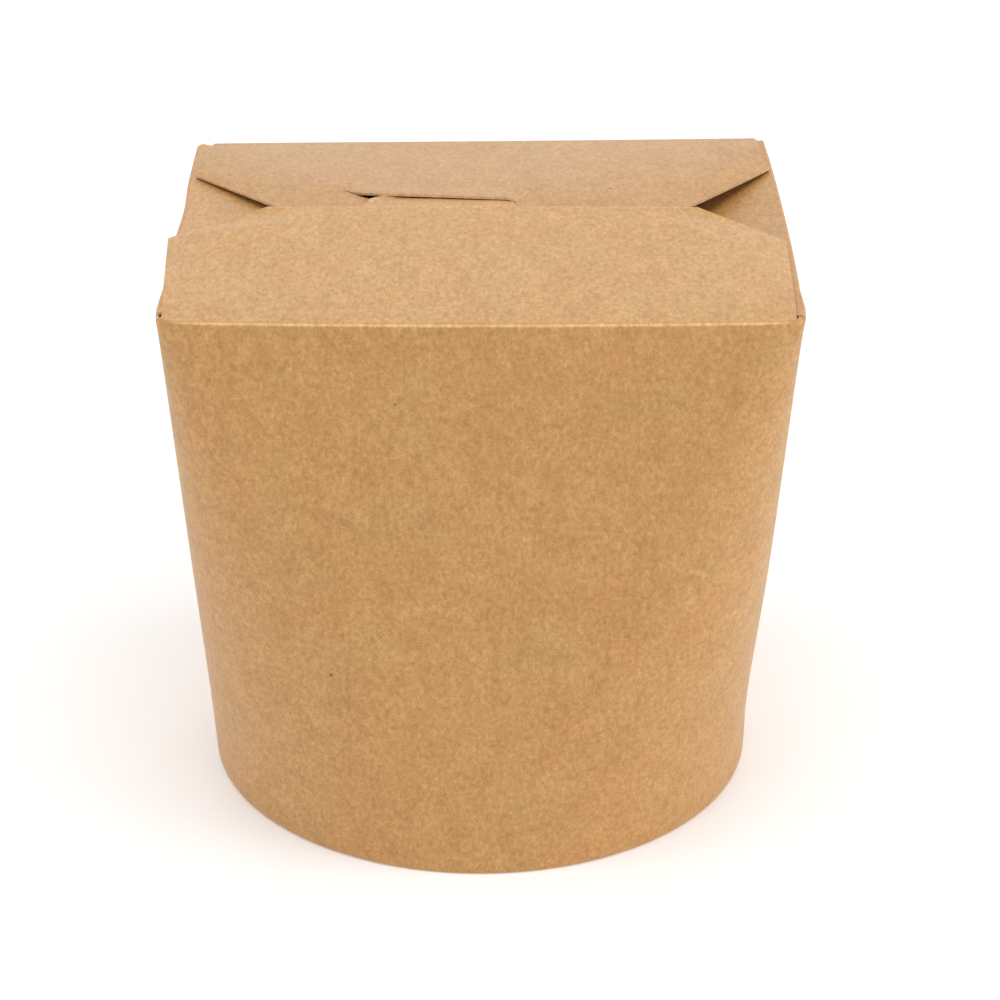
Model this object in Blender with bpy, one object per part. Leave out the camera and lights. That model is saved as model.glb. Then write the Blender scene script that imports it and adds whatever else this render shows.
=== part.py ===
"""Shut takeaway noodle box of brown board: a wall that runs from a round base to a
near rectangular rim, two tucked side panels, two main flaps and a tab in a slit.
Metres, +Z up, front towards -Y, origin at the middle of the base ring."""

from math import atan2, cos, pi, radians, sin, sqrt, tan

import bmesh
import bpy
from mathutils import Vector

MM = 0.001

# Sizes of the wall
RIM_WIDTH = 103.8 * MM
RIM_DEPTH = 87 * MM
RIM_HEIGHT = 100 * MM
BACK_RIGHT_RISE = 1.1 * MM
BASE_DIAMETER = 96.8 * MM
CORNER_RADIUS = 3 * MM
FRONT_BOW = 1.0 * MM
LEFT_BOW = 0.1 * MM
RIGHT_BOW = 0.8 * MM
BOARD = 0.5 * MM
FOLD_RADIUS = 0.5 * MM

# Folded hem at the foot and the disc inside it
HEM_THICKNESS = 1.5 * MM
HEM_HEIGHT = 6.0 * MM
HEM_ROUND = 0.3 * MM
DISC_GAP = 0.3 * MM

# Glued overlap of the wall, on the back of the right corner
SEAM_NORMAL = radians(62)
SEAM_EDGE = radians(0.2)
SEAM_FADE = radians(30)

# Side panels, folded in first: how much each rises inwards
LEFT_PANEL_RISE = tan(radians(1.5))
RIGHT_PANEL_RISE = tan(radians(-5.0))
PANEL_REACH = 20 * MM

# Front flap, on top, with the tab on its free edge
FRONT_SIDE_LENGTH = 30 * MM
FRONT_DEPTH = 43.1 * MM
FRONT_LEFT = (-51.0 * MM, -52.6 * MM, -36.0 * MM)
FRONT_RIGHT = (50.7 * MM, 51.3 * MM, 36.2 * MM)
FRONT_SLOPE = 0.105
FRONT_SAG = 0.63
TAB_LEFT = -17.0 * MM
TAB_RIGHT = 5.5 * MM
TAB_LENGTH = 11 * MM
TAB_ROOT = 3 * MM
TAB_TAPER = 2.0 * MM
TAB_DIVE = 0.12
TAB_SINK = 0.03 * MM

# Back flap, under the front one, with the slit
BACK_SIDE_LENGTH = 27.5 * MM
BACK_DEPTH = 44.0 * MM
BACK_LEFT = (-49.6 * MM, -49.8 * MM, -33.2 * MM)
BACK_RIGHT = (50.6 * MM, 50.4 * MM, 33.2 * MM)
BACK_SLOPE = 0.2226
BACK_SAG = 3.59
CORNER_LIFT = 1.3 * MM
CORNER_LIFT_REACH = 14 * MM

# Slit in the back flap: a straight run with its left end turned towards the back
SLIT_LEFT = -24.0 * MM
SLIT_BEND = -17.5 * MM
SLIT_RIGHT = 5.5 * MM
SLIT_Y = 6.0 * MM
SLIT_SKEW = -0.06
SLIT_TURN = 4.4 * MM
SLIT_WIDTH = 0.5 * MM
SLIT_END_WIDTH = 0.1 * MM
SLIT_END_LENGTH = 3.5 * MM
SLIT_FLOOR = RIM_HEIGHT + 1.8 * MM
LIP_UP = 0.45 * MM
LIP_DOWN = 0.22 * MM
LIP_REACH = 7 * MM
LIP_ENDS = 0.35
SLIT_BLEND = 10 * MM

# What fills the box under the flaps, set back from their side edges and chamfers
FILL_INSET = 2.5 * MM
FILL_DEPTH = 6.0 * MM
FILL_SINK = 0.25 * MM

# Mesh steps
CORNER_STEPS = 16
FRONT_STEPS = 6
SIDE_STEPS = 4
WALL_ROWS = 5
FLAP_COLUMNS = 40
TAB_STEPS = 12
SLIT_STEPS = 24
LIP_GAP = 0.1 * MM
CREASE_BLEND = 8 * MM

KRAFT = (0.56, 0.31, 0.13, 1.0)
KRAFT_INSIDE = (0.60, 0.36, 0.17, 1.0)


def clear_scene():
    for item in list(bpy.data.objects):
        bpy.data.objects.remove(item, do_unlink=True)


def board_material(name, colour):
    material = bpy.data.materials.new(name)
    material.use_nodes = True
    shader = material.node_tree.nodes["Principled BSDF"]
    shader.inputs["Base Color"].default_value = colour
    shader.inputs["Roughness"].default_value = 0.65
    shader.inputs["Metallic"].default_value = 0.0
    return material


def smoothstep(value):
    value = min(max(value, 0.0), 1.0)
    return value * value * (3.0 - 2.0 * value)


# Rim outline: four shallow arcs joined by round corners, so that each outward
# direction belongs to one point of it

CORNER_X = RIM_WIDTH / 2 - CORNER_RADIUS
CORNER_Y = RIM_DEPTH / 2 - CORNER_RADIUS - FRONT_BOW


def bow_radius(half_chord, bow):
    reach = CORNER_RADIUS + bow
    return (half_chord**2 + reach**2 - CORNER_RADIUS**2) / (2 * bow)


FRONT_RADIUS = bow_radius(CORNER_X, FRONT_BOW)
FRONT_ANGLE = atan2(FRONT_RADIUS - CORNER_RADIUS - FRONT_BOW, CORNER_X)


def side_arc(on_right):
    """Bow, radius and half angle of the left or right side of the rim."""
    bow = RIGHT_BOW if on_right else LEFT_BOW
    radius = bow_radius(CORNER_Y, bow)
    return bow, radius, atan2(CORNER_Y, radius - CORNER_RADIUS - bow)


def rim_point(normal):
    """Point of the rim whose outward direction is at the angle normal."""
    x_dir, y_dir = cos(normal), sin(normal)
    folded = atan2(abs(y_dir), abs(x_dir))
    bow, radius, side_angle = side_arc(x_dir > 0)
    if folded > FRONT_ANGLE:
        x = FRONT_RADIUS * cos(folded)
        y = FRONT_RADIUS * sin(folded) - FRONT_RADIUS + RIM_DEPTH / 2
    elif folded < side_angle:
        x = radius * cos(folded) - radius + RIM_WIDTH / 2 + bow
        y = radius * sin(folded)
    else:
        x = CORNER_X + CORNER_RADIUS * cos(folded)
        y = CORNER_Y + CORNER_RADIUS * sin(folded)
    return Vector((x if x_dir > 0 else -x, y if y_dir > 0 else -y, 0.0))


def rim_rise(x, y):
    """The rim climbs a little towards its back right corner."""
    along = max(0.0, (x + RIM_WIDTH / 4) / (RIM_WIDTH * 3 / 4))
    return BACK_RIGHT_RISE * along**2 * smoothstep(2 * y / RIM_DEPTH)


def spread(start, end, steps):
    return [start + (end - start) * i / steps for i in range(steps)]


def wall_normals():
    """Outward directions round the box, anticlockwise from +X."""
    angles = [SEAM_NORMAL, SEAM_NORMAL + SEAM_EDGE, 0.0, pi]
    counts = (FRONT_STEPS, CORNER_STEPS, SIDE_STEPS)
    for on_right, middle in ((True, 0.0), (False, pi)):
        stops = (pi / 2, FRONT_ANGLE, side_arc(on_right)[2], 0.0)
        for start, end, steps in zip(stops, stops[1:], counts):
            for angle in spread(start, end, steps):
                angles += [middle + angle, middle - angle]
    return sorted({round(angle % (2 * pi), 6) for angle in angles})


def seam_step(normal):
    """The outer layer stands one board proud at its edge and settles away from it."""
    past = SEAM_NORMAL - normal
    if past < -SEAM_EDGE / 2 or past >= SEAM_FADE:
        return 0.0
    return BOARD * (1.0 - smoothstep(past / SEAM_FADE))


def wall_point(normal, height, inset=0.0):
    outward = Vector((cos(normal), sin(normal), 0.0))
    share = height / RIM_HEIGHT
    point = outward * (BASE_DIAMETER / 2) * (1.0 - share) + rim_point(normal) * share
    fade = 1.0 - smoothstep((share - 0.9) / 0.08)
    height += rim_rise(point.x, point.y) * share**4
    return point + outward * (seam_step(normal) * fade - inset) + Vector((0.0, 0.0, height))


# Building blocks

def loft(name, loops):
    """Closed solid through loops of equal length, with a flat cap at each end."""
    bm = bmesh.new()
    rings = [[bm.verts.new(point) for point in loop] for loop in loops]
    for lower, upper in zip(rings, rings[1:]):
        for i in range(len(lower)):
            bm.faces.new((lower[i - 1], lower[i], upper[i], upper[i - 1]))
    bm.faces.new(rings[0])
    bm.faces.new(rings[-1])
    bmesh.ops.recalc_face_normals(bm, faces=bm.faces)
    return finish_mesh(name, bm)


def finish_mesh(name, bm):
    bmesh.ops.triangulate(bm, faces=bm.faces)
    mesh = bpy.data.meshes.new(name)
    bm.to_mesh(mesh)
    bm.free()
    solid = bpy.data.objects.new(name, mesh)
    bpy.context.scene.collection.objects.link(solid)
    return solid


def sheet(name, across, rows, place, thickness):
    """Grid of board whose points follow place(across, row), thickened downwards."""
    bm = bmesh.new()
    bmesh.ops.create_grid(bm, x_segments=across, y_segments=rows, size=0.5)
    for vert in bm.verts:
        vert.co = place(vert.co.x + 0.5, vert.co.y + 0.5)
    bmesh.ops.recalc_face_normals(bm, faces=bm.faces)
    if sum(face.normal.z for face in bm.faces) < 0:
        bmesh.ops.reverse_faces(bm, faces=bm.faces)
    top = list(bm.faces)
    below = bmesh.ops.extrude_face_region(bm, geom=top, use_keep_orig=True)
    lowered = [item for item in below["geom"] if isinstance(item, bmesh.types.BMVert)]
    bmesh.ops.translate(bm, verts=lowered, vec=(0.0, 0.0, -thickness))
    bmesh.ops.recalc_face_normals(bm, faces=bm.faces)
    return finish_mesh(name, bm)


def fuse(target, pieces, operation):
    """One exact Boolean of target with all the pieces, applied."""
    group = bpy.data.collections.new("operands")
    for piece in pieces:
        group.objects.link(piece)
    boolean = target.modifiers.new("fuse", "BOOLEAN")
    boolean.operation = operation
    boolean.operand_type = "COLLECTION"
    boolean.collection = group
    boolean.solver = "EXACT"
    graph = bpy.context.evaluated_depsgraph_get()
    fused = bpy.data.meshes.new_from_object(target.evaluated_get(graph))
    target.modifiers.clear()
    target.data = fused
    for piece in pieces:
        bpy.data.objects.remove(piece, do_unlink=True)
    bpy.data.collections.remove(group)


# Flaps

def edge_x(widths, side_length, depth, reach):
    """Side edge of a flap: straight from the crease, then the chamfer."""
    at_crease, at_corner, at_end = widths
    if reach < side_length:
        return at_crease + (at_corner - at_crease) * reach / side_length
    share = min((reach - side_length) / (depth - side_length), 1.0)
    return at_corner + (at_end - at_corner) * share


def crease_line(x):
    """Distance of the front or back crease from the middle of the box."""
    tangent = FRONT_RADIUS * cos(FRONT_ANGLE)
    if abs(x) < tangent:
        return sqrt(FRONT_RADIUS**2 - x**2) - FRONT_RADIUS + RIM_DEPTH / 2
    past = min(abs(x) - CORNER_X, CORNER_RADIUS)
    return CORNER_Y + sqrt(CORNER_RADIUS**2 - past**2)


def front_height(reach):
    return RIM_HEIGHT + FRONT_SLOPE * reach - FRONT_SAG * reach**2


def back_height(reach, x, y):
    height = RIM_HEIGHT + BACK_SLOPE * reach - BACK_SAG * reach**2 + rim_rise(x, y)
    corner = Vector((BACK_RIGHT[1] - x, BACK_SIDE_LENGTH - reach))
    return height + CORNER_LIFT * (1.0 - smoothstep(corner.length / CORNER_LIFT_REACH))


CREASE_Y = RIM_DEPTH / 2 - FRONT_BOW


def flap_y(x, reach):
    """Rows follow the bowed crease at first and are straight further in."""
    bend = 1.0 - smoothstep(reach / CREASE_BLEND)
    return CREASE_Y - reach + (crease_line(x) - FOLD_RADIUS - CREASE_Y) * bend


def front_point(share, reach, inset=0.0, sink=0.0):
    left = edge_x(FRONT_LEFT, FRONT_SIDE_LENGTH, FRONT_DEPTH, reach) + inset
    right = edge_x(FRONT_RIGHT, FRONT_SIDE_LENGTH, FRONT_DEPTH, reach) - inset
    x = left + (right - left) * share
    return Vector((x, -flap_y(x, reach), front_height(reach) - sink))


def slit_y(x):
    """Line of the slit: straight, and curling to the back at its left end."""
    turn = max(0.0, (SLIT_BEND - x) / (SLIT_BEND - SLIT_LEFT))
    return SLIT_Y + SLIT_SKEW * (x - SLIT_BEND) + SLIT_TURN * turn**2


def lip_shift(x, y):
    """The lip behind the slit rides over the tab, the one before it lies under."""
    centre = (SLIT_LEFT + SLIT_RIGHT) / 2
    half = (SLIT_RIGHT - SLIT_LEFT) / 2
    along = smoothstep((1.0 - abs(x - centre) / half) / LIP_ENDS)
    away = (y - slit_y(x)) / LIP_REACH
    fall = 1.0 - smoothstep(abs(away))
    return along * fall * (LIP_UP if away > 0 else -LIP_DOWN)


SLIT_REACH = CREASE_Y - SLIT_Y


def back_point(share, reach, inset=0.0, sink=0.0):
    """Rows near the slit follow its line, so that it falls between two of them."""
    left = edge_x(BACK_LEFT, BACK_SIDE_LENGTH, BACK_DEPTH, reach) + inset
    right = edge_x(BACK_RIGHT, BACK_SIDE_LENGTH, BACK_DEPTH, reach) - inset
    x = left + (right - left) * share
    along = min(max(x, SLIT_LEFT), SLIT_RIGHT)
    near = 1.0 - smoothstep(abs(reach - SLIT_REACH) / SLIT_BLEND)
    near *= 1.0 - smoothstep(abs(x - along) / SLIT_BLEND)
    y = flap_y(x, reach) + (slit_y(along) - SLIT_Y) * near
    return Vector((x, y, back_height(reach, x, y) + lip_shift(x, y) - sink))


def flap_rows(side_length, depth):
    """Distances from the crease, with a row on the flap's corner and its end."""
    rows = [-0.25 * MM, 0.1 * MM, 2 * MM, 5 * MM, 8 * MM]
    rows += spread(12 * MM, side_length, 4)
    rows += spread(side_length, depth, 7)
    return rows + [depth]


def slit_rows(depth):
    """Rows of the back flap, with one on each lip of the slit."""
    rows = [row for row in flap_rows(BACK_SIDE_LENGTH, depth) if abs(row - SLIT_REACH) > 1 * MM]
    return sorted(rows + [SLIT_REACH - LIP_GAP, SLIT_REACH + LIP_GAP])


def flap(name, point, rows, inset, sink, thickness):
    """Sheet for a flap, or for what fills the box under it when inset and sunk."""

    def place(across, row):
        index = round(row * (len(rows) - 1))
        spot = point(across, rows[index], inset, sink)
        if index == 0:
            spot.z -= 2 * FOLD_RADIUS
        return spot

    return sheet(name, FLAP_COLUMNS, len(rows) - 1, place, thickness)


def tab():
    """Tongue of the front flap: level over the near lip, then down into the box."""

    def place(across, row):
        reach = FRONT_DEPTH - TAB_ROOT + (TAB_LENGTH + TAB_ROOT) * row
        end = TAB_TAPER * row**2
        x = TAB_LEFT + end + (TAB_RIGHT - TAB_LEFT - 2 * end) * across
        y = reach - CREASE_Y
        level = front_height(min(reach, FRONT_DEPTH)) - TAB_SINK * (1.0 - row)
        past = max(0.0, y - slit_y(x) + SLIT_WIDTH)
        return Vector((x, y, level - past * TAB_DIVE))

    return sheet("tab", TAB_STEPS, TAB_STEPS, place, BOARD)


def slit_cutter():
    """Narrow curved slot, the open cut of the slit."""

    def place(across, row):
        x = SLIT_LEFT + (SLIT_RIGHT - SLIT_LEFT) * across
        from_end = min(x - SLIT_LEFT, SLIT_RIGHT - x)
        width = SLIT_END_WIDTH + (SLIT_WIDTH - SLIT_END_WIDTH) * min(1.0, from_end / SLIT_END_LENGTH)
        return Vector((x, slit_y(x) - width * row, SLIT_FLOOR + FILL_DEPTH))

    slot = sheet("slit_cutter", SLIT_STEPS, 1, place, FILL_DEPTH)
    slot.hide_render = True
    slot.display_type = "WIRE"
    return slot


# The box

def body():
    """Wall with its folded hem and recess, capped by the two side panels."""
    normals = wall_normals()
    inner = BASE_DIAMETER / 2 - HEM_THICKNESS

    def ring(radius, height):
        return [Vector((radius * cos(a), radius * sin(a), height)) for a in normals]

    def wall(height, inset=0.0):
        return [wall_point(a, height, inset) for a in normals]

    def panel(share):
        points = []
        for point in wall(RIM_HEIGHT, FOLD_RADIUS):
            rise = RIGHT_PANEL_RISE if point.x > 0 else LEFT_PANEL_RISE
            inwards = PANEL_REACH * share * point.x / (RIM_WIDTH / 2)
            height = point.z + abs(inwards) * rise
            points.append(Vector((point.x - inwards, point.y * (1 - 0.4 * share), height)))
        return points

    loops = [ring(inner, HEM_HEIGHT), ring(inner, HEM_ROUND), ring(inner + HEM_ROUND, 0.0)]
    loops.append(wall(0.0, HEM_ROUND))
    loops += [wall(HEM_ROUND + (RIM_HEIGHT - FOLD_RADIUS - HEM_ROUND) * i / WALL_ROWS)
              for i in range(WALL_ROWS + 1)]
    loops.append(wall(RIM_HEIGHT - 0.15 * MM, 0.15 * MM))
    loops.append(wall(RIM_HEIGHT, FOLD_RADIUS))
    loops.append(panel(1.0))
    return loft("carton", loops)


def build_carton():
    carton = body()
    back = flap("back_flap", back_point, slit_rows(BACK_DEPTH), 0.0, 0.0, BOARD)
    back_fill = flap("back_fill", back_point, slit_rows(BACK_DEPTH - FILL_SINK),
                     FILL_INSET, FILL_SINK, FILL_DEPTH)
    fuse(carton, [back_fill, back], "UNION")
    fuse(carton, [slit_cutter()], "DIFFERENCE")
    front = flap("front_flap", front_point, flap_rows(FRONT_SIDE_LENGTH, FRONT_DEPTH),
                 0.0, 0.0, BOARD)
    front_fill = flap("front_fill", front_point,
                      flap_rows(FRONT_SIDE_LENGTH, FRONT_DEPTH - FILL_SINK),
                      FILL_INSET, FILL_SINK, FILL_DEPTH)
    fuse(carton, [front_fill, front, tab()], "UNION")
    carton.data.shade_smooth()
    carton.data.set_sharp_from_angle(angle=radians(30))
    carton.data.materials.clear()
    carton.data.materials.append(board_material("kraft_board", KRAFT))
    return carton


def build_base_disc():
    """Round board disc that closes the foot, held inside the hem."""
    bm = bmesh.new()
    radius = BASE_DIAMETER / 2 - HEM_THICKNESS - DISC_GAP
    bmesh.ops.create_cone(bm, cap_ends=True, segments=96, radius1=radius, radius2=radius,
                          depth=BOARD)
    height = HEM_HEIGHT - DISC_GAP - BOARD / 2
    bmesh.ops.translate(bm, verts=bm.verts, vec=(0.0, 0.0, height))
    disc = finish_mesh("base_disc", bm)
    disc.data.shade_smooth()
    disc.data.set_sharp_from_angle(angle=radians(30))
    disc.data.materials.append(board_material("kraft_disc", KRAFT_INSIDE))
    return disc


clear_scene()
build_carton()
build_base_disc()
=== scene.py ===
from math import asin, atan, atan2, cos, pi, radians, sin, sqrt

import bmesh
import bpy
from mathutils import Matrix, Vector, noise


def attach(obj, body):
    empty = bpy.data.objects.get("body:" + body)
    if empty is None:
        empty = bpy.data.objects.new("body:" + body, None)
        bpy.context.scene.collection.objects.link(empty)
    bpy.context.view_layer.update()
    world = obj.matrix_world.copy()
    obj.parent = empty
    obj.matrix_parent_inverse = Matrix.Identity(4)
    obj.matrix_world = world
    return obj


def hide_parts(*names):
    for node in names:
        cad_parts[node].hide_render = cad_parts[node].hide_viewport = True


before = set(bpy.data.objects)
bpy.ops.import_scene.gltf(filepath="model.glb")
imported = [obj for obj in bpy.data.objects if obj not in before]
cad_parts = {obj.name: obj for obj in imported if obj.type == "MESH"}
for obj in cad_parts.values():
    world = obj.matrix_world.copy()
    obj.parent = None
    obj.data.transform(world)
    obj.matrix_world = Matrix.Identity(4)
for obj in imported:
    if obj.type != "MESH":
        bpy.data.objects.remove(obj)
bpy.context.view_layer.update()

# Wall. A strip of brown board rolled into a tube, round at the foot and near square at the
# rim, glued over itself at the back of the right corner. Its lower edge is folded inwards
# and up as the hem that holds the base disc.

MM = 0.001
BOARD = 0.45 * MM
RIM_WIDTH = 103.8 * MM
RIM_DEPTH = 87 * MM
RIM_HEIGHT = 100 * MM
BACK_RIGHT_RISE = 1.1 * MM
BASE_RADIUS = 48.4 * MM
CORNERS = {"front": (6.0 * MM, 2.4 * MM), "back": (1.6 * MM, 1.6 * MM)}
FRONT_BOW = 1.0 * MM
SIDE_BOW = {"left": 0.1 * MM, "right": 0.8 * MM}
FOLD = 0.5 * MM
SEAM_ANGLE = radians(62)
SEAM_EDGE = radians(0.2)
SEAM_FADE = radians(30)
SEAM_TOP = 0.9
SEAM_TOP_FADE = 0.08
HEM_RADIUS = 0.75 * MM
HEM_TOP = 5.1 * MM
HEM_INSIDE = (HEM_TOP, HEM_TOP / 2)
HEM_STEPS = 8
WALL_ROWS = [1, 3, 6, 10, 17, 25, 34, 43, 52, 61, 70, 79, 87, 93, 97, 99]
CORNER_STEP = radians(1.5)
SIDE_STEPS = 10
BACK_COLUMNS = (24, 64, 40)
FRONT_COLUMNS = (24, 40, 36)
FOLD_STEPS = 7
PULL_IN = 0.45 * MM
PULL_MIDDLE = 8 * MM
PULL_REACH = 16 * MM
PULL_POWER = 4
CORNER_FLARE = {"left": 0.38 * MM, "right": 0.5 * MM}
FLARE_MIDDLE = {"left": 35 * MM, "right": 36 * MM}
FLARE_REACH = 8 * MM
FLARE_POWER = 45
WAIST = {"left": 0.12 * MM, "right": 0.62 * MM}
WAIST_HEIGHT = 14 * MM
WAIST_REACH = 36 * MM
DENT = 0.16 * MM
DENT_SCALE = 28.0
# Painted highlight: the top rows of the front of the wall are painted paler along the crease,
# partly real rubbing of the board and partly the light that the crease catches.
RUBBED_AND_LIT_FROM = 99.2
RUBBED_AND_LIT_WALL = 0.25
FACES_FRONT = -0.9
HALVINGS = 40
CREASE_TOP = RIM_HEIGHT - FOLD
CREASE_Y = RIM_DEPTH / 2 - FRONT_BOW


def smoothstep(value):
    value = min(max(value, 0.0), 1.0)
    return value * value * (3.0 - 2.0 * value)


def corner_angles(side, end):
    """Directions where a corner of the rim meets its side and its front or back."""
    wide, deep = CORNERS[end]
    side_angle = 2 * atan(SIDE_BOW[side] / (RIM_DEPTH / 2 - FRONT_BOW - deep))
    return side_angle, pi / 2 - 2 * atan(FRONT_BOW / (RIM_WIDTH / 2 - wide))


def rim_point(angle):
    """Point of the rim that faces the given direction, seen from above."""
    side = "right" if cos(angle) > 0 else "left"
    end = "back" if sin(angle) > 0 else "front"
    wide, deep = CORNERS[end]
    side_angle, front_angle = corner_angles(side, end)
    folded = atan2(abs(sin(angle)), abs(cos(angle)))
    bend = min(max(folded, side_angle), front_angle)
    span = sqrt((wide * cos(bend))**2 + (deep * sin(bend))**2)
    x = RIM_WIDTH / 2 - wide + wide**2 * cos(bend) / span
    y = RIM_DEPTH / 2 - FRONT_BOW - deep + deep**2 * sin(bend) / span
    if folded > front_angle:
        radius = x / cos(front_angle)
        x = radius * cos(folded)
        y += radius * (sin(folded) - sin(front_angle))
    elif folded < side_angle:
        radius = y / sin(side_angle)
        y = radius * sin(folded)
        x += radius * (cos(folded) - cos(side_angle))
    return Vector((x if side == "right" else -x, y if end == "back" else -y, 0))


def rim_rise(x, y):
    """The rim climbs a little towards its back right corner."""
    along = max(0.0, (x + RIM_WIDTH / 4) / (RIM_WIDTH * 3 / 4))
    return BACK_RIGHT_RISE * along**2 * smoothstep(2 * y / RIM_DEPTH)


def seam_step(angle):
    """The outer layer stands one board proud at its edge and settles away from it."""
    past = SEAM_ANGLE - angle
    if past < -SEAM_EDGE / 2 or past >= SEAM_FADE:
        return 0.0
    return BOARD * (1 - smoothstep(past / SEAM_FADE))


def wall_point(angle, height):
    outward = Vector((cos(angle), sin(angle), 0))
    share = height / RIM_HEIGHT
    point = outward * BASE_RADIUS * (1 - share) + rim_point(angle) * share
    proud = seam_step(angle) * (1 - smoothstep((share - SEAM_TOP) / SEAM_TOP_FADE))
    if point.x < 0:
        away = (point.y - PULL_MIDDLE) / PULL_REACH
        proud -= PULL_IN * share**PULL_POWER * (1 - smoothstep(abs(away)))
    proud += DENT * noise.noise(point * DENT_SCALE + outward) * sin(pi * min(share, 1.0))
    side = "right" if point.x > 0 else "left"
    away = abs(point.y + FLARE_MIDDLE[side]) / FLARE_REACH
    proud += CORNER_FLARE[side] * share**FLARE_POWER * (1 - smoothstep(away))
    waist = smoothstep(height / WAIST_HEIGHT)
    waist *= 1 - smoothstep((height - WAIST_HEIGHT) / WAIST_REACH)
    proud -= WAIST[side] * waist * abs(cos(angle))
    climb = rim_rise(point.x, point.y) * share**PULL_POWER
    return point + outward * proud + Vector((0, 0, height + climb))


def fold_point(angle, turn):
    """Round of the crease, turned from the wall by the angle turn."""
    outward = Vector((cos(angle), sin(angle), 0))
    edge = wall_point(angle, CREASE_TOP)
    return edge + outward * FOLD * (cos(turn) - 1) + Vector((0, 0, FOLD * sin(turn)))


def crease_point(angle):
    """Point of the crease, one fold radius in from the rim."""
    return rim_point(angle) - Vector((cos(angle), sin(angle), 0)) * FOLD


def crease_angle(x, end):
    """Direction that the wall faces where its front or back crease passes x."""
    low, high = 0.0, pi
    for halving in range(HALVINGS):
        middle = (low + high) / 2
        if crease_point(middle if end == "back" else -middle).x > x:
            low = middle
        else:
            high = middle
    return low if end == "back" else -low


board = bmesh.new()
# Per-point paleness: real rubbing of the board, and painted light where the front crease, the
# front flap and the left side panel are painted lighter.
wear_and_painted_light = board.verts.layers.float.new("wear_and_painted_light")


def add_sheet(columns, rows, place):
    """Grid of board with each point and its paleness, from rubbing and painted light, given by
    place(column, row).
    """
    made = bmesh.ops.create_grid(board, x_segments=columns, y_segments=rows, size=0.5)
    for vert in made["verts"]:
        column = round((vert.co.x + 0.5) * columns)
        row = round((vert.co.y + 0.5) * rows)
        vert.co, vert[wear_and_painted_light] = place(column, row)
    return made["verts"]


# Side edges of the main flaps at the crease, at the start of the chamfer and at the free edge.
FRONT_LEFT = (-50.95 * MM, -52.8 * MM, -36.4 * MM)
FRONT_RIGHT = (50.5 * MM, 51.7 * MM, 37.1 * MM)
BACK_LEFT = (-48.9 * MM, -50.6 * MM, -31.0 * MM)
BACK_RIGHT = (50.35 * MM, 51.5 * MM, 32.1 * MM)
SLIT_SHARES = (0.1976, 0.5726)
TAB_SHARES = (0.2205, 0.5856)
PANEL_FRONT = {"left": -38.6 * MM, "right": -39.75 * MM}


def side_angle_at(side, y):
    """Direction that a side of the box faces where its rim passes y."""
    side_angle, front_angle = corner_angles(side, "front")
    half = RIM_DEPTH / 2 - FRONT_BOW - CORNERS["front"][1]
    folded = asin(y / half * sin(side_angle))
    return folded if side == "right" else pi - folded


PANEL_ENDS = {"right": (side_angle_at("right", PANEL_FRONT["right"]), radians(15)),
              "left": (radians(120), side_angle_at("left", PANEL_FRONT["left"]))}
ROOT_ENDS = {"left": radians(-156), "right": radians(-6)}
FLAP_EDGE = 0.3 * MM


def spread(start, end, steps):
    return [start + (end - start) * i / steps for i in range(steps + 1)]


def flap_angles(end, left, right, shares, steps):
    """Directions of the columns of a main flap, its cut or tab between the two shares."""
    stops = (0.0, *shares, 1.0)
    angles = []
    for start, stop, count in zip(stops, stops[1:], steps):
        for share in spread(start, stop, count):
            angles.append(crease_angle(left[0] + (right[0] - left[0]) * share, end))
    return angles


def wall_angles():
    """Directions round the box, anticlockwise from +X, with the ends of each flap."""
    angles = [SEAM_ANGLE, SEAM_ANGLE + SEAM_EDGE]
    for side, middle in (("right", 0.0), ("left", pi)):
        for end in ("front", "back"):
            side_angle, front_angle = corner_angles(side, end)
            count = round((front_angle - side_angle) / CORNER_STEP)
            turned = spread(0.0, side_angle, SIDE_STEPS) + spread(side_angle, front_angle, count)
            forward = (side == "right") == (end == "back")
            angles += [middle + angle if forward else middle - angle for angle in turned]
        angles += (*PANEL_ENDS[side], ROOT_ENDS[side])
    angles += flap_angles("back", BACK_LEFT, BACK_RIGHT, SLIT_SHARES, BACK_COLUMNS)
    angles += flap_angles("front", FRONT_LEFT, FRONT_RIGHT, TAB_SHARES, FRONT_COLUMNS)
    angles.append(crease_angle(FRONT_LEFT[0] + FLAP_EDGE, "front"))
    angles.append(crease_angle(FRONT_RIGHT[0] - FLAP_EDGE, "front"))
    return sorted({round(angle % (2 * pi), 6) for angle in angles})


ANGLES = wall_angles()
SLACK = 2e-6


def between(start, end):
    """Directions of the wall from start to end, both included."""
    turned = [angle - 2 * pi for angle in ANGLES] + ANGLES
    return [angle for angle in turned if start - SLACK <= angle <= end + SLACK]


def place_wall(column, row):
    angle = ANGLES[column % len(ANGLES)]
    outward = Vector((cos(angle), sin(angle), 0))
    if row < len(HEM_INSIDE):
        inner = outward * (BASE_RADIUS - 2 * HEM_RADIUS)
        return inner + Vector((0, 0, HEM_INSIDE[row])), 0.0
    row -= len(HEM_INSIDE)
    if row < HEM_STEPS:
        turn = pi * (1 + row / HEM_STEPS)
        proud = seam_step(angle) * max(0.0, cos(turn))
        radius = BASE_RADIUS - HEM_RADIUS + HEM_RADIUS * cos(turn) + proud
        return outward * radius + Vector((0, 0, HEM_RADIUS * (1 + sin(turn)))), 0.0
    heights = WALL_ROWS + [CREASE_TOP / MM]
    height = heights[row - HEM_STEPS]
    # The top of the front of the wall is painted paler: rubbing and a painted crease highlight.
    rubbed_and_lit = sin(angle) < FACES_FRONT and height > RUBBED_AND_LIT_FROM
    return wall_point(angle, height * MM), RUBBED_AND_LIT_WALL if rubbed_and_lit else 0.0


add_sheet(len(ANGLES), len(HEM_INSIDE) + HEM_STEPS + len(WALL_ROWS), place_wall)

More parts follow.
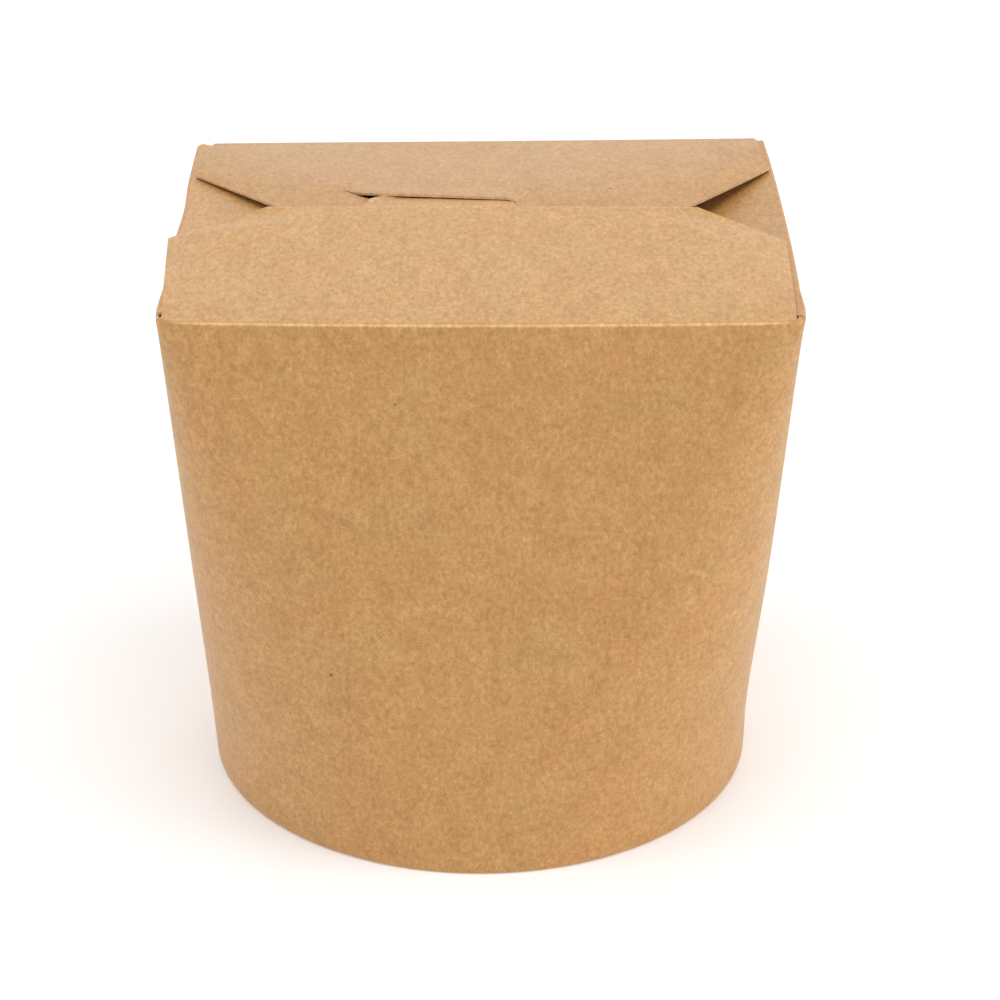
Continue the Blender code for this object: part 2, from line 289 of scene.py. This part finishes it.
# Side panels. Parts of the same board, folded in first and held down by both main flaps.
# Each is cut free of the flaps at the corners, and shows in the openings between them and
# as a strip along its crease.

PANEL_DEPTH = 30 * MM
PANEL_TAPER = 0.45
PANEL_RISE = {"left": 0.03, "right": -0.15}
PANEL_LEVEL = -20 * MM
PANEL_FOLD_WEAR = 0.3
# Painted light: the left side panel is painted paler where it shows in its opening, standing in
# for the light it gets; the right one is left plain.
PANEL_PAINTED_LIGHT = {"left": 0.22, "right": 0.0}
PANEL_ROWS = [0.3, 1, 2, 4, 7, 11, 15, 20, 25, 30]


def add_panel(side):
    angles = between(*PANEL_ENDS[side])

    def place(column, row):
        turn = pi / 2 * min(row / FOLD_STEPS, 1.0)
        edge = fold_point(angles[column], turn)
        if row <= FOLD_STEPS:
            return edge, PANEL_FOLD_WEAR * sin(pi * row / FOLD_STEPS)
        reach = PANEL_ROWS[row - FOLD_STEPS - 1] * MM
        inwards = -reach if side == "right" else reach
        narrow = 1 - PANEL_TAPER * reach / PANEL_DEPTH
        free = 1.0 if side == "right" else smoothstep(1 - edge.y / PANEL_LEVEL)
        height = edge.z + reach * PANEL_RISE[side] * free
        # Painted light on the left panel.
        return Vector((edge.x + inwards, edge.y * narrow, height)), PANEL_PAINTED_LIGHT[side]

    add_sheet(len(angles) - 1, FOLD_STEPS + len(PANEL_ROWS), place)


for side in ("left", "right"):
    add_panel(side)

# Back flap. Board folded over the side panels, with chamfered corners and a slit near its
# free edge, die cut straight and curling to the back at its left end. The tab pushes up
# the lip behind the slit and presses down the one before it.

BACK_SIDES = {"left": 19.2 * MM, "right": 17.2 * MM}
BACK_DEPTH = 44.0 * MM
BACK_SLOPE = 0.12
BACK_PRESS = 2.61 * MM
EDGE_RISE = 0.72 * MM
EDGE_FALL = 18 * MM
CREASE_BLEND = 8 * MM
SLIT_LEFT = -23.8 * MM
SLIT_BEND = -17.5 * MM
SLIT_HOOK = 4.2 * MM
SLIT_RIGHT = 6.0 * MM
SLIT_Y = 5.85 * MM
SLIT_SKEW = -0.085
SLIT_TURN = 3.0 * MM
SLIT_DROP = 0.8 * MM
SLIT_GAP = 0.12 * MM
SLIT_OPEN = 0.35 * MM
LIP_UP = 0.62 * MM
LIP_EASE = 0.1
LIP_EASE_START = -8 * MM
LIP_DOWN = 0.34 * MM
LIP_REACH = 7 * MM
LIP_LEFT = 6.0 * MM
LIP_RIGHT = 0.6 * MM
SLIT_BLEND = 10 * MM
SLIT_REACH = CREASE_Y - SLIT_Y
RIPPLE = 0.10 * MM
RIPPLE_SCALE = 42.0
BACK_FOLD_WEAR = 0.15
BACK_ROWS = [0.3, 1, 2, 3.5, 5.5, 8, 11, 14, 17.2, 19.2, 22, 24.5, 27, 29, 31, 33, 34.5, 35.6]
ROWS_PAST_SLIT = [38, 38.7, 39.6, 40.6, 41.7, 42.8]


def edge_x(widths, side_length, depth, reach):
    """Side edge of a flap: straight from the crease, then the chamfer."""
    at_crease, at_corner, at_end = widths
    if reach < side_length:
        return at_crease + (at_corner - at_crease) * reach / side_length
    share = min((reach - side_length) / (depth - side_length), 1.0)
    return at_corner + (at_end - at_corner) * share


def flap_y(crease, reach):
    """Rows follow the bowed crease at first and are straight further in."""
    bend = 1 - smoothstep(reach / CREASE_BLEND)
    return CREASE_Y - reach + (abs(crease.y) - CREASE_Y) * bend


def crown(middle, side_length, depth, end, reach, from_edge):
    """Height of a flap that sags from its middle to the edge that lies on a side panel."""
    edge = RIM_HEIGHT + EDGE_RISE * smoothstep(reach / CREASE_BLEND)
    if reach > side_length:
        edge += (end - edge) * (reach - side_length) / (depth - side_length)
    return middle + (edge - middle) * max(0.0, 1 - from_edge / EDGE_FALL)**2


def ripple(x, y):
    return RIPPLE * noise.noise(Vector((x, y, 0.3)) * RIPPLE_SCALE)


def slit_y(x):
    """Line of the slit: straight, curling back at its left end and hooked at its right."""
    turn = max(0.0, (SLIT_BEND - x) / (SLIT_BEND - SLIT_LEFT))
    hook = max(0.0, (x - SLIT_HOOK) / (SLIT_RIGHT - SLIT_HOOK))
    return SLIT_Y + SLIT_SKEW * (x - SLIT_BEND) + SLIT_TURN * turn**2 - SLIT_DROP * hook**2


def slit_share(x):
    """How far the slit gapes at x, from 0 at its ends to 1."""
    return smoothstep((x - SLIT_LEFT) / LIP_LEFT) * smoothstep((SLIT_RIGHT - x) / LIP_RIGHT)


def back_middle(reach):
    return RIM_HEIGHT + BACK_SLOPE * reach - BACK_PRESS * (reach / BACK_DEPTH)**4


def back_point(crease, reach):
    left = edge_x(BACK_LEFT, BACK_SIDES["left"], BACK_DEPTH, reach)
    right = edge_x(BACK_RIGHT, BACK_SIDES["right"], BACK_DEPTH, reach)
    x = left + (right - left) * (crease.x - BACK_LEFT[0]) / (BACK_RIGHT[0] - BACK_LEFT[0])
    side = "left" if x < 0 else "right"
    along = min(max(x, SLIT_LEFT), SLIT_RIGHT)
    near = 1 - smoothstep(abs(reach - SLIT_REACH) / SLIT_BLEND)
    near *= 1 - smoothstep(abs(x - along) / SLIT_BLEND)
    y = flap_y(crease, reach) + (slit_y(along) - SLIT_Y) * near
    height = crown(back_middle(reach), BACK_SIDES[side], BACK_DEPTH, back_middle(BACK_DEPTH),
                   reach, min(x - left, right - x)) + rim_rise(x, y)
    lip = slit_share(x) * (1 - smoothstep(abs(y - slit_y(x)) / LIP_REACH))
    behind = reach < SLIT_REACH
    rise = LIP_UP * (1 - LIP_EASE * smoothstep((x - LIP_EASE_START) / SLIT_BLEND))
    height += lip * (rise if behind else -LIP_DOWN)
    height += ripple(x, y) * smoothstep(reach / CREASE_BLEND)
    if not behind:
        y -= SLIT_OPEN * lip
    return Vector((x, y, height))


def add_back_flap():
    angles = between(crease_angle(BACK_RIGHT[0], "back"), crease_angle(BACK_LEFT[0], "back"))
    rise = atan(BACK_SLOPE)
    rows = [row * MM for row in BACK_ROWS]
    rows += [SLIT_REACH - SLIT_GAP, SLIT_REACH + SLIT_GAP]
    rows += [row * MM for row in ROWS_PAST_SLIT] + [BACK_DEPTH]

    def place(column, row):
        angle = angles[column]
        if row <= FOLD_STEPS:
            turn = (pi / 2 - rise) * row / FOLD_STEPS
            return fold_point(angle, turn), BACK_FOLD_WEAR * sin(pi * row / FOLD_STEPS)
        return back_point(crease_point(angle), rows[row - FOLD_STEPS - 1]), 0.0

    sheet = add_sheet(len(angles) - 1, FOLD_STEPS + len(rows), place)
    cut = []
    for face in {face for vert in sheet for face in vert.link_faces}:
        middle = face.calc_center_median()
        away = abs(middle.y - slit_y(middle.x))
        if SLIT_LEFT < middle.x < SLIT_RIGHT and away < SLIT_GAP + SLIT_OPEN:
            cut.append(face)
    bmesh.ops.delete(board, geom=cut, context="FACES")


add_back_flap()

# Front flap. Board folded last, over everything, and a little wider than the box at the
# left. The tab on its free edge is tucked in over the near lip of the slit and under the
# far one, which keeps the box shut.

FRONT_SIDES = {"left": 35.0 * MM, "right": 34.1 * MM}
FRONT_DEPTH = 43.1 * MM
FRONT_SLOPE = 0.105
FRONT_SAG = 0.63
# Painted highlight: the front crease is painted much paler, fading at its ends, partly real
# rubbing and partly the light that the crease catches.
WORN_AND_LIT_END = 4 * MM
FRONT_FOLD_WEAR_AND_HIGHLIGHT = 1.5
TAB_ROOT_WEAR = 0.6
# Painted light: the whole front flap and its tab are painted paler, standing in for the light that
# falls on the flap.
FRONT_FLAP_PAINTED_LIGHT = 0.31
CORNER_WEB = 0.7 * MM
FRONT_ROWS = [0.3, 1, 2, 3.5, 5.5, 8, 11, 14, 17, 20, 23, 26, 28.5, 31, 34.1, 35, 36.5, 38.5, 40.5]
FRONT_EDGE_ROW = 0.4 * MM
TAB_ROWS = [0.0, 0.25, 0.5, 0.9, 1.4, 2.0, 2.8, 3.6, 4.4, 5.2, 6, 7, 8.5, 10, 11]
TAB_LEFT_EDGE = ((0, 0), (1, 0.5), (3.2, 1.0), (4.0, 1.6), (4.9, 3.0), (5.6, 3.5), (11, 4.2))
TAB_RIGHT_EDGE = ((0, 0), (0.6, 0.6), (2, 1.0), (11, 1.8))
TAB_SLOPE = 0.05
TAB_DIVE = 0.30
TAB_CURL = 0.30 * MM
TAB_CURL_WIDTH = 3.5 * MM
TAB_CURL_START = 3
SHARE_SLACK = 1e-4


def graph_at(stops, place):
    """Value at place on the broken line through the stops."""
    for (start, low), (end, high) in zip(stops, stops[1:]):
        if place <= end:
            return low + (high - low) * (place - start) / (end - start)
    return stops[-1][1]


def front_share(crease):
    return (crease.x - FRONT_LEFT[0]) / (FRONT_RIGHT[0] - FRONT_LEFT[0])


def front_middle(reach):
    return RIM_HEIGHT + FRONT_SLOPE * reach - FRONT_SAG * reach**2


def front_point(crease, reach):
    left = edge_x(FRONT_LEFT, FRONT_SIDES["left"], FRONT_DEPTH, reach)
    right = edge_x(FRONT_RIGHT, FRONT_SIDES["right"], FRONT_DEPTH, reach)
    x = left + (right - left) * front_share(crease)
    y = -flap_y(crease, reach)
    side = "left" if x < 0 else "right"
    height = crown(front_middle(reach), FRONT_SIDES[side], FRONT_DEPTH, front_middle(FRONT_DEPTH),
                   reach, min(x - left, right - x))
    return Vector((x, y, height + ripple(x, y) * smoothstep(reach / CREASE_BLEND)))


def add_front_flap():
    angles = between(crease_angle(FRONT_LEFT[0], "front"), crease_angle(FRONT_RIGHT[0], "front"))
    creases = [crease_point(angle) for angle in angles]
    rise = atan(FRONT_SLOPE)
    rows = [row * MM for row in FRONT_ROWS] + [FRONT_DEPTH - FRONT_EDGE_ROW, FRONT_DEPTH]

    def place(column, row):
        if row <= FOLD_STEPS:
            turn = (pi / 2 - rise) * row / FOLD_STEPS
            # Crease of the front flap painted paler: rubbing and a painted highlight.
            worn_and_lit = smoothstep((FRONT_RIGHT[0] - abs(creases[column].x)) / WORN_AND_LIT_END)
            worn_and_lit *= FRONT_FOLD_WEAR_AND_HIGHLIGHT
            return fold_point(angles[column], turn), worn_and_lit * sin(pi * row / FOLD_STEPS)
        reach = rows[row - FOLD_STEPS - 1]
        edge = reach == FRONT_DEPTH or column in (0, len(angles) - 1)
        # The edges of the flap are paler from rubbing; the rest of the flap is painted paler as
        # painted light.
        rubbed_and_lit = 1.0 if edge and column > 0 else FRONT_FLAP_PAINTED_LIGHT
        return front_point(creases[column], reach), rubbed_and_lit

    add_sheet(len(angles) - 1, FOLD_STEPS + len(rows), place)
    for flap_end, root_end in ((angles[0], ROOT_ENDS["left"]), (angles[-1], ROOT_ENDS["right"])):
        past_flap = between(min(flap_end, root_end), max(flap_end, root_end))

        def place_root(column, row):
            angle = past_flap[column]
            turn = (pi / 2 - rise) * min(row / FOLD_STEPS, 1.0)
            past = (angle - flap_end) / (root_end - flap_end)
            reach = CORNER_WEB * sqrt(max(0.0, past)) if row > FOLD_STEPS else 0.0
            inward = Vector((-cos(angle), -sin(angle), 0))
            return fold_point(angle, turn) + inward * reach, 0.0

        add_sheet(len(past_flap) - 1, FOLD_STEPS + 1, place_root)

    start, end = TAB_SHARES[0] - SHARE_SLACK, TAB_SHARES[1] + SHARE_SLACK
    tab = [crease for crease in creases if start < front_share(crease) < end]

    def place_tab(column, row):
        root = front_point(tab[column], FRONT_DEPTH)
        if row == 0:
            return root, TAB_ROOT_WEAR
        past = TAB_ROWS[row]
        share = (tab[column].x - tab[0].x) / (tab[-1].x - tab[0].x)
        left = front_point(tab[0], FRONT_DEPTH).x + graph_at(TAB_LEFT_EDGE, past) * MM
        right = front_point(tab[-1], FRONT_DEPTH).x - graph_at(TAB_RIGHT_EDGE, past) * MM
        spot = Vector((left + (right - left) * share, root.y + past * MM, root.z))
        spot.z -= TAB_SLOPE * past * MM + TAB_DIVE * max(0.0, spot.y - slit_y(spot.x))
        curl = smoothstep(past / TAB_CURL_START)
        spot.z += TAB_CURL * curl * (1 - smoothstep((spot.x - left) / TAB_CURL_WIDTH))
        # The tab is painted paler with the flap, as painted light.
        return spot, FRONT_FLAP_PAINTED_LIGHT

    add_sheet(len(tab) - 1, len(TAB_ROWS) - 1, place_tab)


add_front_flap()

# Folded board. Wall, panels and flaps are one sheet of uncoated brown board, so their grids
# are welded along the creases and thickened inwards, with the paler pulp at its cut edges.

WELD = 0.002 * MM
SHARP = radians(40)
ROUGHNESS = 0.5
GLOSS = 0.9
SHEEN = 0.12
SHEEN_ROUGHNESS = 0.4
SHEEN_TINT = (1.0, 0.98, 0.8, 1)
GRAIN_STRETCH = (1.0, 0.55, 0.75)
FIBRE_STRETCH = (1.0, 1.0, 0.2)
STRAND_STRETCH = (0.2, 1.0, 1.3)
CLOUD_SCALE = 75.0
MOTTLE_SCALE = 260.0
GRAIN_SCALE = 1200.0
FIBRE_SCALE = 1500.0
STRAND_SCALE = 1400.0
SPECK_SCALE = 130.0
RUB_SCALE = 900.0
RELIEF_SCALES = (1500.0, 300.0)
SHADE_GAINS = (1.0, 1.4, 3.0)
MOTTLE = 0.125
GRAIN = 0.27
BUMP_STRENGTH = 0.35
BUMP_DEPTH = 0.07 * MM
KRAFT = (0.520, 0.256, 0.060)
RUBBED_AND_LIT_GAIN = (1.48, 1.75, 2.7)
CUT_PULP = (0.70, 0.46, 0.26)
CUT_GAIN = (1.05, 1.1, 1.2)

bmesh.ops.remove_doubles(board, verts=board.verts, dist=WELD)
bmesh.ops.recalc_face_normals(board, faces=board.faces)
if sum(face.normal.dot(face.calc_center_median()) for face in board.faces) < 0:
    bmesh.ops.reverse_faces(board, faces=board.faces)


def kraft(name, tint, rubbed_and_lit_gain):
    """Brown board: cloudy pulp, fine fibres, a few dark specks, paler from rubbing and where light
    is painted on: a crease highlight and a lighter front flap and left panel.
    """
    material = bpy.data.materials.new(name)
    material.use_nodes = True
    tree = material.node_tree
    shader = tree.nodes["Principled BSDF"]
    shader.inputs["Roughness"].default_value = ROUGHNESS
    shader.inputs["Specular IOR Level"].default_value = GLOSS
    shader.inputs["Sheen Weight"].default_value = SHEEN
    shader.inputs["Sheen Roughness"].default_value = SHEEN_ROUGHNESS
    shader.inputs["Sheen Tint"].default_value = SHEEN_TINT
    place = tree.nodes.new("ShaderNodeTexCoord").outputs["Object"]

    def mapping(scale):
        node = tree.nodes.new("ShaderNodeMapping")
        node.inputs["Scale"].default_value = scale
        tree.links.new(place, node.inputs["Vector"])
        return node.outputs["Vector"]

    upright = mapping(GRAIN_STRETCH)

    def pulp(vector, scale, detail, rough):
        node = tree.nodes.new("ShaderNodeTexNoise")
        node.inputs["Scale"].default_value = scale
        node.inputs["Detail"].default_value = detail
        node.inputs["Roughness"].default_value = rough
        tree.links.new(vector, node.inputs["Vector"])
        return node.outputs["Fac"]

    def ramp(factor, stops):
        node = tree.nodes.new("ShaderNodeValToRGB")
        elements = node.color_ramp.elements
        elements[0].position, elements[0].color = stops[0]
        elements[1].position, elements[1].color = stops[-1]
        for position, colour in stops[1:-1]:
            elements.new(position).color = colour
        tree.links.new(factor, node.inputs["Fac"])
        return node.outputs["Color"]

    def mix(first, second, factor, blend="MIX"):
        node = tree.nodes.new("ShaderNodeMix")
        node.data_type = "RGBA"
        node.blend_type = blend
        for value, socket in ((factor, 0), (first, 6), (second, 7)):
            if isinstance(value, (int, float, tuple)):
                node.inputs[socket].default_value = value
            else:
                tree.links.new(value, node.inputs[socket])
        return node.outputs[2]

    def grey(value):
        return (value, value, value, 1.0)

    def shade(amount):
        """Lighter or darker pulp: the blue of brown board moves more than its red."""
        return (*(1 + gain * amount for gain in SHADE_GAINS), 1.0)

    red, green, blue = tint
    clouds = ramp(pulp(place, CLOUD_SCALE, 4.0, 0.6),
                  [(0.3, (red * 1.03, green * 0.965, blue * 0.93, 1)),
                   (0.7, (red * 0.985, green * 1.03, blue * 1.06, 1))])
    mottle = ramp(pulp(upright, MOTTLE_SCALE, 3.0, 0.8),
                  [(0.2, shade(-MOTTLE)), (0.8, shade(MOTTLE))])
    grain = ramp(pulp(upright, GRAIN_SCALE, 2.0, 1.0),
                 [(0.2, shade(-GRAIN)), (0.8, shade(GRAIN))])
    colour = mix(mix(clouds, mottle, 1.0, "MULTIPLY"), grain, 1.0, "MULTIPLY")

    fibres = ramp(pulp(mapping(FIBRE_STRETCH), FIBRE_SCALE, 1.0, 0.5),
                  [(0.68, grey(0)), (0.80, grey(0.45))])
    strands = ramp(pulp(mapping(STRAND_STRETCH), STRAND_SCALE, 1.0, 0.5),
                   [(0.68, grey(0)), (0.80, grey(0.45))])
    pale = (min(red * 1.3, 1), min(green * 1.45, 1), min(blue * 1.8, 1), 1)
    colour = mix(colour, pale, mix(fibres, strands, 1.0, "ADD"))
    bits = tree.nodes.new("ShaderNodeTexVoronoi")
    bits.inputs["Scale"].default_value = SPECK_SCALE
    tree.links.new(upright, bits.inputs["Vector"])
    dots = ramp(bits.outputs["Distance"], [(0.025, grey(1)), (0.045, grey(0))])
    chosen = ramp(bits.outputs["Color"], [(0.64, grey(0)), (0.70, grey(0.9))])
    dark = (red * 0.25, green * 0.2, blue * 0.2, 1)
    colour = mix(colour, dark, mix(dots, chosen, 1.0, "MULTIPLY"))

    # Paleness from the per-point attribute, real rubbing and painted light alike, broken up by
    # noise.
    worn_and_lit = tree.nodes.new("ShaderNodeAttribute")
    worn_and_lit.attribute_name = "wear_and_painted_light"
    rubbed_and_lit = ramp(pulp(place, RUB_SCALE, 4.0, 0.7), [(0.3, grey(0.45)), (0.7, grey(1))])
    amount = mix(worn_and_lit.outputs["Fac"], rubbed_and_lit, 1.0, "MULTIPLY")
    colour = mix(colour, (*rubbed_and_lit_gain, 1), amount, "MULTIPLY")
    tree.links.new(colour, shader.inputs["Base Color"])

    fine, coarse = RELIEF_SCALES
    relief = mix(pulp(upright, fine, 4.0, 0.7), pulp(upright, coarse, 3.0, 0.6), 0.5)
    bump = tree.nodes.new("ShaderNodeBump")
    bump.inputs["Strength"].default_value = BUMP_STRENGTH
    bump.inputs["Distance"].default_value = BUMP_DEPTH
    tree.links.new(relief, bump.inputs["Height"])
    tree.links.new(bump.outputs["Normal"], shader.inputs["Normal"])
    return material


kraft_face = kraft("kraft_face", KRAFT, RUBBED_AND_LIT_GAIN)
kraft_cut = kraft("kraft_cut", CUT_PULP, CUT_GAIN)


def finish_board(name, bm, materials):
    """The sheet thickened inwards, its cut edges in the second material."""
    mesh = bpy.data.meshes.new(name)
    bm.to_mesh(mesh)
    bm.free()
    piece = bpy.data.objects.new(name, mesh)
    bpy.context.scene.collection.objects.link(piece)
    for material in materials:
        mesh.materials.append(material)
    solidify = piece.modifiers.new("thickness", "SOLIDIFY")
    solidify.thickness = BOARD
    solidify.offset = -1.0
    solidify.material_offset_rim = 1
    graph = bpy.context.evaluated_depsgraph_get()
    thick = bpy.data.meshes.new_from_object(piece.evaluated_get(graph))
    piece.modifiers.clear()
    piece.data = thick
    thick.shade_smooth()
    thick.set_sharp_from_angle(angle=SHARP)
    return piece


carton = finish_board("folded_board", board, (kraft_face, kraft_cut))
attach(carton, "root")
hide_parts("carton")

# Base disc. A round of the same board, pressed with a shallow ring and its rim turned down
# as a skirt, which the hem of the wall is folded over and glued to.

DISC_TOP = 5.7 * MM
DISC_RADIUS = 47.75 * MM
SKIRT = 4.4 * MM
SKIRT_ROUND = 0.7 * MM
DISC_KRAFT = (0.53, 0.268, 0.068)
PRESSED = 0.35 * MM
ROUND_STEPS = 5
RINGS = ((0.0, 2.5 * MM), (-PRESSED, 0.8 * MM), (0.0, 12 * MM), (0.0, 16 * MM))

disc = bmesh.new()
disc.verts.layers.float.new("wear_and_painted_light")
bmesh.ops.create_circle(disc, cap_ends=True, segments=180, radius=DISC_RADIUS - SKIRT_ROUND)
for depth, inset in RINGS:
    inner = max(disc.faces, key=lambda face: len(face.verts))
    bmesh.ops.inset_region(disc, faces=[inner], thickness=inset, depth=depth, use_even_offset=True)
rim = [edge for edge in disc.edges if edge.is_boundary]
for step in range(1, ROUND_STEPS + 2):
    turn = pi / 2 * min(step, ROUND_STEPS) / ROUND_STEPS
    radius = DISC_RADIUS - SKIRT_ROUND * (1 - sin(turn))
    drop = SKIRT_ROUND * (1 - cos(turn)) + (SKIRT if step > ROUND_STEPS else 0.0)
    made = bmesh.ops.extrude_edge_only(disc, edges=rim)
    for vert in (item for item in made["geom"] if isinstance(item, bmesh.types.BMVert)):
        flat = Vector((vert.co.x, vert.co.y, 0)).normalized() * radius
        vert.co = Vector((flat.x, flat.y, -drop))
    rim = [item for item in made["geom"] if isinstance(item, bmesh.types.BMEdge)]
bmesh.ops.translate(disc, verts=disc.verts, vec=(0, 0, DISC_TOP))
bmesh.ops.recalc_face_normals(disc, faces=disc.faces)
if max(disc.faces, key=lambda face: face.calc_area()).normal.z < 0:
    bmesh.ops.reverse_faces(disc, faces=disc.faces)

kraft_disc = kraft("kraft_disc", DISC_KRAFT, RUBBED_AND_LIT_GAIN)
base = finish_board("base_round", disc, (kraft_disc, kraft_cut))
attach(base, "root")
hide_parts("base_disc")

# Studio. A white floor under a white sky, with large soft lamps above, behind and at both
# sides, seen from in front and from a little above, as in the photo.

FLOOR_SIZE = 6.0
FLOOR_GREY = 0.92
FLOOR_GLOW = 0.19
SKY = 0.47

sweep = bmesh.new()
bmesh.ops.create_grid(sweep, x_segments=1, y_segments=1, size=FLOOR_SIZE / 2)
floor_mesh = bpy.data.meshes.new("floor")
sweep.to_mesh(floor_mesh)
sweep.free()
floor = bpy.data.objects.new("floor", floor_mesh)
bpy.context.scene.collection.objects.link(floor)
white = bpy.data.materials.new("white_sweep")
white.use_nodes = True
paper = white.node_tree.nodes["Principled BSDF"]
paper.inputs["Base Color"].default_value = (FLOOR_GREY, FLOOR_GREY, FLOOR_GREY, 1)
paper.inputs["Roughness"].default_value = 0.9
paper.inputs["Specular IOR Level"].default_value = 0.1
paper.inputs["Emission Color"].default_value = (1, 1, 1, 1)
paper.inputs["Emission Strength"].default_value = FLOOR_GLOW
floor_mesh.materials.append(white)

world = bpy.data.worlds.new("studio")
world.use_nodes = True
world.node_tree.nodes["Background"].inputs["Color"].default_value = (1, 1, 1, 1)
world.node_tree.nodes["Background"].inputs["Strength"].default_value = SKY
bpy.context.scene.world = world


def softbox(name, place, target, size, power):
    light = bpy.data.lights.new(name, "AREA")
    light.shape = "SQUARE"
    light.size = size
    light.energy = power
    lamp = bpy.data.objects.new(name, light)
    lamp.location = place
    lamp.rotation_euler = (Vector(target) - Vector(place)).to_track_quat("-Z", "Y").to_euler()
    bpy.context.scene.collection.objects.link(lamp)


softbox("top_box", (0.0, -0.35, 1.25), (0, 0, 0.05), 1.0, 7.4)
softbox("back_box", (0.0, 1.15, 0.6), (0, 0, 0.05), 1.2, 4.4)
softbox("right_box", (1.1, -0.3, 0.4), (0, 0, 0.05), 0.8, 5.0)
softbox("left_box", (-1.1, -0.2, 0.4), (0, 0, 0.05), 0.8, 2.0)

TILT = radians(25.829)
DISTANCE = 0.5614
LOOK_AT_HEIGHT = 0.05
FOCAL_LENGTH = 113.39
SHIFT = (0.01965, -0.01091)
lens = bpy.data.cameras.new("camera")
lens.sensor_width = 36
lens.lens = FOCAL_LENGTH
lens.shift_x, lens.shift_y = SHIFT
lens.clip_start = 0.01
camera = bpy.data.objects.new("camera", lens)
camera.location = (0, -DISTANCE * cos(TILT), LOOK_AT_HEIGHT + DISTANCE * sin(TILT))
camera.rotation_euler = (pi / 2 - TILT, 0, 0)
bpy.context.scene.collection.objects.link(camera)
bpy.context.scene.camera = camera
bpy.context.scene.view_settings.view_transform = "Standard"
